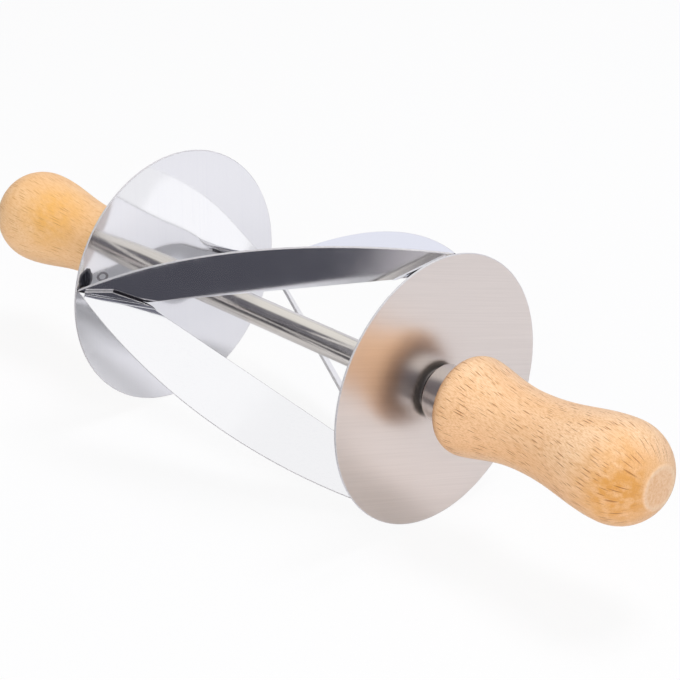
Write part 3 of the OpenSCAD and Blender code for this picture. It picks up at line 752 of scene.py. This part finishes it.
def weldMarkAndShadeTree(shape):
    tree, given = newTree("spotWeldMarksAndShade", {
        "Places": "Geometry", **dict.fromkeys(markSizes, "Float"), "Material": "Material",
    }, "Marks")
    loop = addNode(tree, "CurvePrimitiveCircle", {"Resolution": 40}, {"Radius": given["Ring Radius"]})
    wire = addNode(tree, "CurvePrimitiveCircle", {"Resolution": 10}, {"Radius": given["Ring Wire"]})
    ring = addNode(tree, "CurveToMesh", None, {"Curve": loop, "Profile Curve": wire})
    ringSpot = addNode(tree, "CombineXYZ", None, {"Y": given["Ring At"]})
    ringSize = addNode(tree, "CombineXYZ", {"X": 1.0, "Y": shape["ringLong"]}, {"Z": given["Ring Flat"]})
    ringSet = addNode(tree, "Transform", {"Rotation": (0, math.pi / 2, 0)},
                      {"Geometry": ring, "Translation": ringSpot, "Scale": ringSize})
    ball = addNode(tree, "MeshUVSphere", {"Segments": 64, "Rings": 32}, {"Radius": given["Shade Radius"]})
    shadeSpot = addNode(tree, "CombineXYZ", None, {"Y": given["Shade At"], "Z": given["Shade Up"]})
    shadeSize = addNode(tree, "CombineXYZ", {"Y": 1.0, "Z": shape["shadeLong"]}, {"X": given["Shade Flat"]})
    # the painted shade fades towards its edge
    spot = addNode(tree, "InputPosition")
    flatSpot = addNode(tree, "VectorMath", {"operation": "MULTIPLY", 1: (0, 1, 1)}, {0: spot})
    away = addNode(tree, "VectorMath", {"operation": "LENGTH"}, {0: flatSpot})
    fade = addNode(tree, "Math", {"operation": "DIVIDE"}, {0: away.outputs["Value"], 1: given["Shade Radius"]})
    shadeDepth = addNode(tree, "MapRange", {
        "From Min": 1.0, "From Max": shape["shadeWhole"], "To Min": shape["edgeShade"],
    }, {"Value": fade})
    shadedBall = addNode(tree, "StoreNamedAttribute", {"data_type": "FLOAT", "domain": "POINT", "Name": "paintedShade"},
                  {"Geometry": ball, "Value": shadeDepth})
    shadeSet = addNode(tree, "Transform", None, {"Geometry": shadedBall, "Translation": shadeSpot, "Scale": shadeSize})
    # the patch of painted shade has a ragged outline
    noise = addNode(tree, "TexNoise", {"Detail": 2.0}, {"Scale": given["Ragged Scale"]})
    middle = addNode(tree, "VectorMath", {"operation": "SUBTRACT", 1: (0.5, 0.5, 0.5)},
                     {0: noise.outputs["Color"]})
    reach = addNode(tree, "CombineXYZ", None, {"Y": given["Ragged"], "Z": given["Ragged"]})
    shove = addNode(tree, "VectorMath", {"operation": "MULTIPLY"}, {0: middle, 1: reach})
    patch = addNode(tree, "SetPosition", None, {"Geometry": shadeSet, "Offset": shove})
    # the pressed ring takes a little of the painted shade
    lightlyShadedRing = addNode(tree, "StoreNamedAttribute", {
        "data_type": "FLOAT", "domain": "POINT", "Name": "paintedShade", "Value": shape["ringShade"],
    }, {"Geometry": ringSet})
    both = addNode(tree, "JoinGeometry", None, {"Geometry": lightlyShadedRing})
    linkAll(tree, both, {"Geometry": patch})
    turn = addNode(tree, "InputNamedAttribute", {"data_type": "FLOAT", "Name": "turn"})
    spin = addNode(tree, "CombineXYZ", None, {"X": turn})
    marks = addNode(tree, "InstanceOnPoints", None,
                    {"Points": given["Places"], "Instance": both, "Rotation": spin})
    real = addNode(tree, "RealizeInstances", None, {"Geometry": marks})
    soft = addNode(tree, "SetShadeSmooth", {"domain": "FACE", "Shade Smooth": True}, {"Geometry": real})
    painted = addNode(tree, "SetMaterial", None, {"Geometry": soft, "Material": given["Material"]})
    addNode(tree, "GroupOutput", None, {"Marks": painted})
    return tree


marking = weldMarkAndShadeTree(markShape)
for label, side, tip in (("left", -1, 180 - bladeSheet["tipTurn"]), ("right", 1, 90 - bladeSheet["tipTurn"])):
    mesh = bpy.data.meshes.new(label + "WeldPlaces")
    mesh.from_pydata([(side * discSheet["from"] * mm, 0, 0)] * 2, [], [])
    turns = mesh.attributes.new("turn", "FLOAT", "POINT")
    turns.data.foreach_set("value", [math.radians(tip + markTurn + half) for half in (0, 180)])
    values = {**markSizes, "Material": finish["paintedShade"]}
    piece = runTree(marking, mesh, values, label + "SpotWeldMarksAndShade")
    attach(piece, "drum")
print("weld marks set")


# Solids that stay as they are take their finish here

keptSolids = {
    "plain": ["tube_insert", "stub_axle", "head_washer"], "weld": ["rim_welds"],
    "naturalNylon": ["inner_bush", "outer_bush"],
}
for look, names in keptSolids.items():
    for name in names:
        for label in ("left", "right"):
            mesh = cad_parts[label + "_" + name].data
            mesh.materials.clear()
            mesh.materials.append(finish[look])
print("kept solids finished")


# Floor, lights and world

studio = {
    "floor": -47.5 * mm, "floorReach": 4.0, "floorFront": 0.36, "floorColour": "#E9E9EC",
    "shadowShare": 0.1, "glossShare": 0.83,
    # the strip keys set a painted shadow on the table that only metal sees
    "shadowStripColour": "#5A5A60", "shadowStripFrom": (0.045, 0.09), "shadowStripTo": (0.23, 0.26),
    "skyStrength": 0.38, "skyColour": "#FBFBFF",
    "horizonColour": "#EDEFFA", "horizonLow": 0.05, "horizonHigh": 0.6,
    "roomColour": "#DEDEF2", "roomStrength": 0.113, "roomHigh": 0.26, "roomLift": (0.1, 0.34),
    "roomFrom": 0.06, "roomFull": 0.3, "ceilingFrom": 0.8, "ceilingFull": 0.88,
    "cardColour": "#D2CDCF", "cardFrom": 0.4835, "cardFull": 0.5055, "cardTop": 0.06, "cardGone": 0.12,
    "patchSoft": 0.04,
    "patches": [  # a pale window in the unlit room, and a dark stand right of it
        {"colour": "#FCFCFF", "at": (-0.26, 0.42), "half": (0.23, 0.5)},
        {"colour": "#46464C", "at": (0.37, 0.42), "half": (0.07, 0.13)},
    ],
}
lamps = {
    "topSoftbox": {
        "at": (0.14, 0.40, 1.22), "aim": (0, 0, 0), "size": (0.5, 0.4), "power": 9.8,
        "colour": "#FBFBFF", "mirrored": False,
    },
    "overheadPanel": {
        "at": (-0.07, -0.37, 1.05), "aim": (0, 0, 0), "size": (0.6, 0.4), "power": 0.045,
        "colour": "#FFFFFF", "mirrored": True,
    },
    "ceilingLeft": {
        "at": (-0.17, -0.30, 1.05), "aim": (0, 0, 0), "size": (0.26, 0.26), "power": 0.03,
        "colour": "#FFFFFF", "mirrored": True,
    },
    "frontFill": {
        "at": (0.72, -0.92, 0.46), "aim": (0.03, 0, 0), "size": (0.9, 0.6), "power": 9.7,
        "colour": "#FFFDF9", "mirrored": False,
    },
}


def makeFloor(s):
    mesh = bpy.data.meshes.new("paleFloor")
    a = math.radians(cameraFit["azimuth"])
    near, side = Vector((math.sin(a), -math.cos(a), 0)), Vector((math.cos(a), math.sin(a), 0))
    front, far = s["floorFront"], s["floorReach"]
    ends = ((front, -far), (front, far), (-far, far), (-far, -far))
    mesh.from_pydata([near * n + side * w + Vector((0, 0, s["floor"])) for n, w in ends], [],
                     [(0, 1, 2, 3)])
    floor = addObject("paleFloor", mesh)
    mat = bpy.data.materials.new("paleStudioPaper")
    tree = emptyTree(mat)
    path = addNode(tree, "LightPath")
    paper = addNode(tree, "BsdfDiffuse", {"Color": tint(s["floorColour"])})
    white = addNode(tree, "Emission", {"Color": tint("#FFFFFF"), "Strength": 1.0})
    seen = addNode(tree, "Math", {"operation": "MULTIPLY", 1: 1 - s["shadowShare"]},
                   {0: path.outputs["Is Camera Ray"]})
    mirrored = addNode(tree, "Math", {"operation": "MAXIMUM"},
                       {0: path.outputs["Is Glossy Ray"], 1: path.outputs["Is Transmission Ray"]})
    share = addNode(tree, "Math", {"operation": "MULTIPLY_ADD", 1: 1 - s["glossShare"]},
                    {0: mirrored, 2: seen})
    # metal sees a painted shadow: a dark strip along the front of the table
    paintedShadow = addNode(tree, "BsdfDiffuse", {"Color": tint(s["shadowStripColour"])})
    spot = addNode(tree, "SeparateXYZ", None, {"Vector": addNode(tree, "TexCoord").outputs["Object"]})
    frontShare = path.outputs["Is Glossy Ray"]
    for clear, full in (s["shadowStripFrom"], s["shadowStripTo"][::-1]):
        part = addNode(tree, "MapRange", {
            "interpolation_type": "SMOOTHSTEP", "From Min": -clear, "From Max": -full,
        }, {"Value": spot.outputs["Y"]})
        frontShare = addNode(tree, "Math", {"operation": "MULTIPLY"}, {0: frontShare, 1: part})
    table = addNode(tree, "MixShader", None, {0: share, 1: paper, 2: white})
    mix = addNode(tree, "MixShader", None, {0: frontShare, 1: table, 2: paintedShadow})
    addNode(tree, "OutputMaterial", None, {"Surface": mix})
    mesh.materials.append(mat)


def makeSky(s):
    world = bpy.data.worlds.new("studioSky")
    bpy.context.scene.world = world
    tree = emptyTree(world)
    path = addNode(tree, "LightPath")
    light = addNode(tree, "Background", {"Color": tint(s["skyColour"]), "Strength": s["skyStrength"]})
    white = addNode(tree, "Background", {"Color": tint("#FFFFFF"), "Strength": 1.0})
    seen = addNode(tree, "Math", {"operation": "MAXIMUM"},
                   {0: path.outputs["Is Camera Ray"], 1: path.outputs["Is Transmission Ray"]})
    plain = addNode(tree, "MixShader", None, {0: seen, 1: light, 2: white})
    # what metal shows: white above, cooler at the horizon
    soft = {"interpolation_type": "SMOOTHSTEP"}
    way = addNode(tree, "SeparateXYZ", None, {"Vector": addNode(tree, "TexCoord").outputs["Generated"]})
    height = addNode(tree, "MapRange", {**soft, "From Min": s["horizonLow"], "From Max": s["horizonHigh"]},
                     {"Value": way.outputs["Z"]})
    paper = addNode(tree, "Mix", {**rgba, 6: tint(s["horizonColour"]), 7: tint("#FFFFFF")}, {0: height})
    around = addNode(tree, "Background", {"Strength": 1.0}, {"Color": paper})
    # the unlit room in front, below the ceiling panel and left of a pale card that stands on the table
    front = addNode(tree, "MapRange", {**soft, "From Min": -s["roomFrom"], "From Max": -s["roomFull"]},
                    {"Value": way.outputs["Y"]})
    below = addNode(tree, "MapRange", {**soft, "From Min": s["ceilingFull"], "From Max": s["ceilingFrom"]},
                    {"Value": way.outputs["Z"]})
    cardSide = addNode(tree, "MapRange", {"From Min": s["cardFrom"], "From Max": s["cardFull"]},
                       {"Value": way.outputs["X"]})
    cardTop = addNode(tree, "MapRange", {**soft, "From Min": s["cardGone"], "From Max": s["cardTop"]},
                      {"Value": way.outputs["Z"]})
    card = addNode(tree, "Math", {"operation": "MULTIPLY"}, {0: cardSide, 1: cardTop})
    dark = addNode(tree, "Math", {"operation": "MULTIPLY"}, {0: front, 1: below})
    lift = addNode(tree, "MapRange", {"From Min": s["roomLift"][0], "From Max": s["roomLift"][1]},
                   {"Value": way.outputs["Z"]})
    roomTint = tint(s["roomColour"])[:3]
    low, high = ([c * s[part] for c in roomTint] + [1] for part in ("roomStrength", "roomHigh"))
    unlit = addNode(tree, "Mix", {**rgba, 6: low, 7: high}, {0: lift})
    shade = addNode(tree, "Mix", {**rgba, 7: tint(s["cardColour"])}, {0: card, 6: unlit})
    for patch in s["patches"]:
        share = None
        for axis, middle, half in zip("XZ", patch["at"], patch["half"]):
            off = addNode(tree, "Math", {"operation": "SUBTRACT", 1: middle}, {0: way.outputs[axis]})
            gap = addNode(tree, "Math", {"operation": "ABSOLUTE"}, {0: off})
            inside = addNode(tree, "MapRange", {"From Min": half + s["patchSoft"], "From Max": half},
                             {"Value": gap})
            if share:
                inside = addNode(tree, "Math", {"operation": "MULTIPLY"}, {0: share, 1: inside})
            share = inside
        shade = addNode(tree, "Mix", {**rgba, 7: tint(patch["colour"])}, {0: share, 6: shade})
    room = addNode(tree, "Background", {"Strength": 1.0}, {"Color": shade})
    mirrored = addNode(tree, "MixShader", None, {0: dark, 1: around, 2: room})
    whole = addNode(tree, "MixShader", None, {0: path.outputs["Is Glossy Ray"], 1: plain, 2: mirrored})
    addNode(tree, "OutputWorld", None, {"Surface": whole})


makeFloor(studio)
makeSky(studio)
for label, lamp in lamps.items():
    data = bpy.data.lights.new(label, "AREA")
    data.shape = "RECTANGLE"
    data.size, data.size_y = lamp["size"]
    data.energy = lamp["power"]
    data.color = tint(lamp["colour"])[:3]
    obj = addObject(label, data)
    obj.location = lamp["at"]
    obj.rotation_euler = (Vector(lamp["aim"]) - Vector(lamp["at"])).to_track_quat("-Z", "Y").to_euler()
    obj.visible_camera = False
    obj.visible_glossy = lamp["mirrored"]
bpy.context.scene.view_settings.view_transform = "Standard"
print("studio set")
